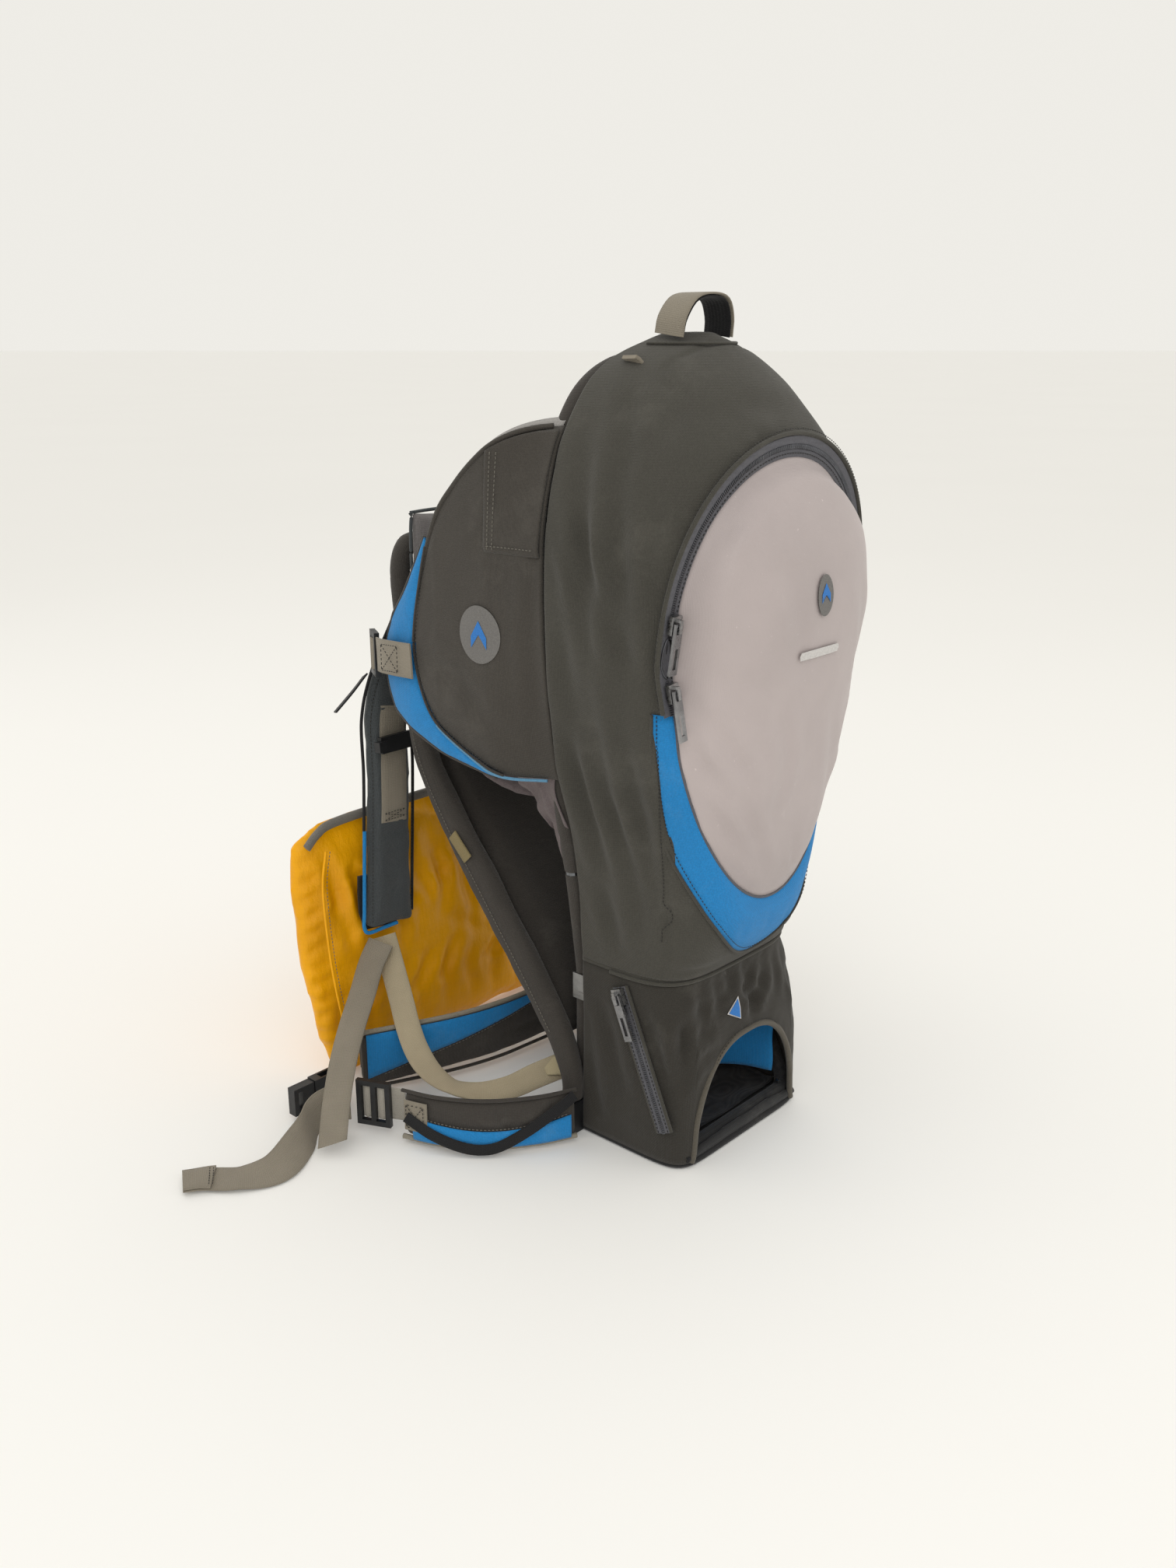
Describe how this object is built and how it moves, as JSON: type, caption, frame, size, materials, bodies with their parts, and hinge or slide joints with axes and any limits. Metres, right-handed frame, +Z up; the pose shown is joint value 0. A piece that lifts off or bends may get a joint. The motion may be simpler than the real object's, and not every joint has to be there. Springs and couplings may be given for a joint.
{
  "type": "baby carrier backpack",
  "caption": "Framed child carrier worn on the back, with a tall rear shell, side wings, padded shoulder straps, hip belt, kick stand and arched lower compartment.",
  "frame": {"origin": "centre of the flat base, on the surface that the carrier stands on", "axes": "+Z up, +Y towards the wearer's back, -X to the wearer's left"},
  "size_m": [0.6189, 0.4677, 0.7501],
  "materials": {
    "shell_fabric": "woven polyester, dark olive grey, faintly sheened",
    "panel_fabric": "smooth woven nylon, mauve grey",
    "seat_fabric": "soft brushed polyester, mauve grey",
    "blue_fabric": "woven polyester, bright blue",
    "black_fabric": "coated polyester, black",
    "zip_tape": "coil zip tape, slate grey",
    "zip_metal": "die-cast nickel plate",
    "frame_tube": "satin anodised tube",
    "bracket_steel": "zinc plated",
    "black_plastic": "moulded acetal, satin",
    "dark_fabric": "woven polyester, warm dark grey",
    "lining_fabric": "brushed lining, light grey",
    "harness_webbing": "woven webbing, charcoal",
    "pad_fabric": "padded polyester, slate grey",
    "yellow_nylon": "thin coated nylon, yellow, shiny",
    "webbing": "ribbed polypropylene webbing, taupe"
  },
  "bodies": {
    "frame": {"rear_shell": "shell_fabric", "boot_cover": "shell_fabric", "oval_panel": "panel_fabric", "face_pad": "panel_fabric", "child_seat": "seat_fabric", "oval_trim": "blue_fabric", "storage_wall": "blue_fabric", "wing_trim_left": "blue_fabric", "wing_trim_right": "blue_fabric", "boot_floor": "black_fabric", "oval_zip_tape": "zip_tape", "side_zip_tape": "zip_tape", "back_frame": "frame_tube", "rear_hoop": "frame_tube", "seat_bar": "frame_tube", "base_bar": "frame_tube", "stand_bracket_left": "bracket_steel", "stand_bracket_right": "bracket_steel", "frame_joint_left": "black_plastic", "frame_joint_right": "black_plastic", "back_panel": "dark_fabric", "cockpit_lining": "lining_fabric", "harness_strap_left": "harness_webbing", "harness_strap_right": "harness_webbing", "harness_buckle": "black_plastic", "wing_left": "dark_fabric", "wing_right": "dark_fabric", "shoulder_pad_left": "pad_fabric", "shoulder_pad_right": "pad_fabric", "hip_wing_left": "dark_fabric", "hip_wing_right": "dark_fabric", "pouch": "yellow_nylon", "shoulder_webbing_left": "webbing", "lifter_strap_left": "webbing", "load_strap_left": "webbing", "strap_tail_left": "webbing", "shoulder_webbing_right": "webbing", "lifter_strap_right": "webbing", "load_strap_right": "webbing", "strap_tail_right": "webbing", "waist_webbing": "webbing", "haul_loop": "webbing", "buckle_socket": "black_plastic"},
    "kick_stand": {"kick_stand": "frame_tube"},
    "upper_zip_slider": {"upper_zip_slider": "zip_metal"},
    "upper_zip_pull": {"upper_zip_pull": "zip_metal"},
    "lower_zip_slider": {"lower_zip_slider": "zip_metal"},
    "lower_zip_pull": {"lower_zip_pull": "zip_metal"},
    "side_zip_slider": {"side_zip_slider": "zip_metal"},
    "side_zip_pull": {"side_zip_pull": "zip_metal"},
    "sternum_slider_left": {"sternum_slider_left": "black_plastic"},
    "sternum_slider_right": {"sternum_slider_right": "black_plastic"},
    "lifter_lock_left": {"lifter_lock_left": "black_plastic", "lifter_tail": "webbing"},
    "lifter_lock_right": {"lifter_lock_right": "black_plastic"},
    "hip_lock": {"hip_lock": "black_plastic"},
    "buckle_plug": {"buckle_plug": "black_plastic"},
    "buckle_prong_upper": {"buckle_prong_upper": "black_plastic"},
    "buckle_prong_lower": {"buckle_prong_lower": "black_plastic"}
  },
  "joints": [
    {"name": "stand_fold", "type": "hinge", "parent": "frame", "child": "kick_stand", "pos_m": [0, 0.021, 0.146], "axis": [1, 0, 0], "range_deg": [0, 26], "deforming": ["boot_cover", "boot_floor"]},
    {"name": "upper_zip_travel", "type": "hinge", "parent": "frame", "child": "upper_zip_slider", "pos_m": [0, -0.059, 0.505], "axis": [0, 0.9885, 0.1512], "range_deg": [0, 175]},
    {"name": "upper_pull_swing", "type": "hinge", "parent": "upper_zip_slider", "child": "upper_zip_pull", "pos_m": [-0.127, -0.06911, 0.50526], "axis": [-1, 0, 0], "range_deg": [0, 165]},
    {"name": "lower_zip_travel", "type": "slide", "parent": "frame", "child": "lower_zip_slider", "axis": [-0.0995, 0.1098, 0.989], "range_m": [-0.01, 0.003]},
    {"name": "lower_pull_swing", "type": "hinge", "parent": "lower_zip_slider", "child": "lower_zip_pull", "pos_m": [-0.12421, -0.06571, 0.45171], "axis": [-0.995, -0.011, -0.0989], "range_deg": [0, 165]},
    {"name": "side_zip_travel", "type": "slide", "parent": "frame", "child": "side_zip_slider", "axis": [0, -0.3939, -0.9191], "range_m": [0, 0.1]},
    {"name": "side_pull_swing", "type": "hinge", "parent": "side_zip_slider", "child": "side_zip_pull", "pos_m": [-0.1066, 0.01032, 0.15775], "axis": [0, 0.9191, -0.3939], "range_deg": [0, 165]},
    {"name": "sternum_travel_left", "type": "slide", "parent": "frame", "child": "sternum_slider_left", "axis": [0.108, 0.108, 0.9883], "range_m": [-0.06, 0.02]},
    {"name": "sternum_travel_right", "type": "slide", "parent": "frame", "child": "sternum_slider_right", "axis": [-0.108, 0.108, 0.9883], "range_m": [-0.06, 0.02]},
    {"name": "lifter_tilt_left", "type": "hinge", "parent": "frame", "child": "lifter_lock_left", "pos_m": [-0.13075, 0.2878, 0.43], "axis": [0, 0, 1], "range_deg": [0, 25]},
    {"name": "lifter_tilt_right", "type": "hinge", "parent": "frame", "child": "lifter_lock_right", "pos_m": [0.13075, 0.2878, 0.43], "axis": [0, 0, -1], "range_deg": [0, 25]},
    {"name": "hip_lock_tilt", "type": "hinge", "parent": "frame", "child": "hip_lock", "pos_m": [-0.2239, 0.1889, 0.031], "axis": [0, 0, 1], "range_deg": [0, 20]},
    {"name": "buckle_release", "type": "slide", "parent": "frame", "child": "buckle_plug", "axis": [-1, 0, 0], "range_m": [0, 0.035]},
    {"name": "prong_upper_squeeze", "type": "hinge", "parent": "buckle_plug", "child": "buckle_prong_upper", "pos_m": [-0.246, 0.276, 0.0295], "axis": [0, 1, 0], "range_deg": [0, 8], "stiffness_Nm_per_rad": 0.004},
    {"name": "prong_lower_squeeze", "type": "hinge", "parent": "buckle_plug", "child": "buckle_prong_lower", "pos_m": [-0.246, 0.276, 0.0105], "axis": [0, -1, 0], "range_deg": [0, 8], "stiffness_Nm_per_rad": 0.004}
  ],
  "couplings": [
    {"joint": "prong_lower_squeeze", "follows": "prong_upper_squeeze", "ratio": 1}
  ]
}
